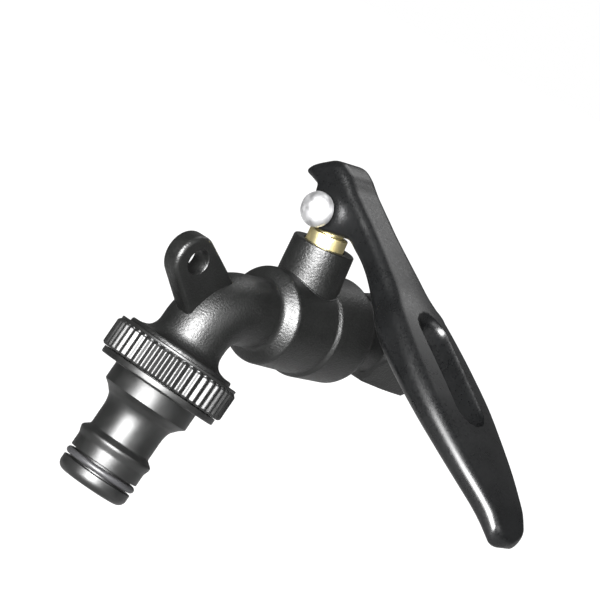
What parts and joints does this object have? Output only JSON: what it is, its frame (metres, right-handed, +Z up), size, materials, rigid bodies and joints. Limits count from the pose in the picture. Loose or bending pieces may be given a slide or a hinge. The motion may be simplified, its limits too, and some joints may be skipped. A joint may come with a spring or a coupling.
{
  "type": "lever-operated outdoor hose tap",
  "caption": "Black wall-mounted outdoor tap with a long slotted lever, a padlock ear, a bent outlet and a ribbed hose nipple.",
  "frame": {"origin": "on the axis of the inlet, in the plane where the wrench hexagon meets the wall thread", "axes": "+X along the body from the wall to the outlet, +Z up along the stem, +Y to the side where the lever hangs at rest"},
  "size_m": [0.0882, 0.0864, 0.0793],
  "materials": {
    "black_coating": "satin black coating on cast metal with a fine cast grain",
    "black_ring": "semi-gloss black coating on turned metal",
    "brass": "bright turned brass",
    "bright_steel": "polished",
    "plated_ball": "plated and polished",
    "white_seat": "smooth white fluoroplastic",
    "black_rubber": "moulded black rubber"
  },
  "bodies": {
    "tap": {"tap_body": "black_coating", "front_seat": "white_seat", "rear_seat": "white_seat", "seat_retainer": "brass", "retainer_o_ring": "black_rubber", "stem_thrust_washer": "white_seat", "stem_packing": "white_seat", "gland_nut": "brass", "hose_nipple": "black_ring", "nipple_o_ring": "black_rubber", "outlet_washer": "black_rubber", "grip_ring": "black_ring"},
    "stem_and_ball": {"stem": "brass", "ball": "plated_ball", "lower_stem_o_ring": "black_rubber", "upper_stem_o_ring": "black_rubber"},
    "handle": {"lever": "black_coating", "pivot_bolt": "bright_steel", "spring_washer": "bright_steel", "dome_nut": "bright_steel"}
  },
  "joints": [
    {"name": "lever_swivel", "type": "hinge", "parent": "tap", "child": "stem_and_ball", "pos_m": [0.037, 0, 0], "axis": [0, 0, 1], "range_deg": [-90, 0]},
    {"name": "lever_tilt", "type": "hinge", "parent": "stem_and_ball", "child": "handle", "pos_m": [0.037, 0, 0.02447], "axis": [1, 0, 0], "range_deg": [0, 30]}
  ],
  "couplings": [
    {"joint": "lever_tilt", "follows": "lever_swivel", "ratio": -0.33333}
  ]
}
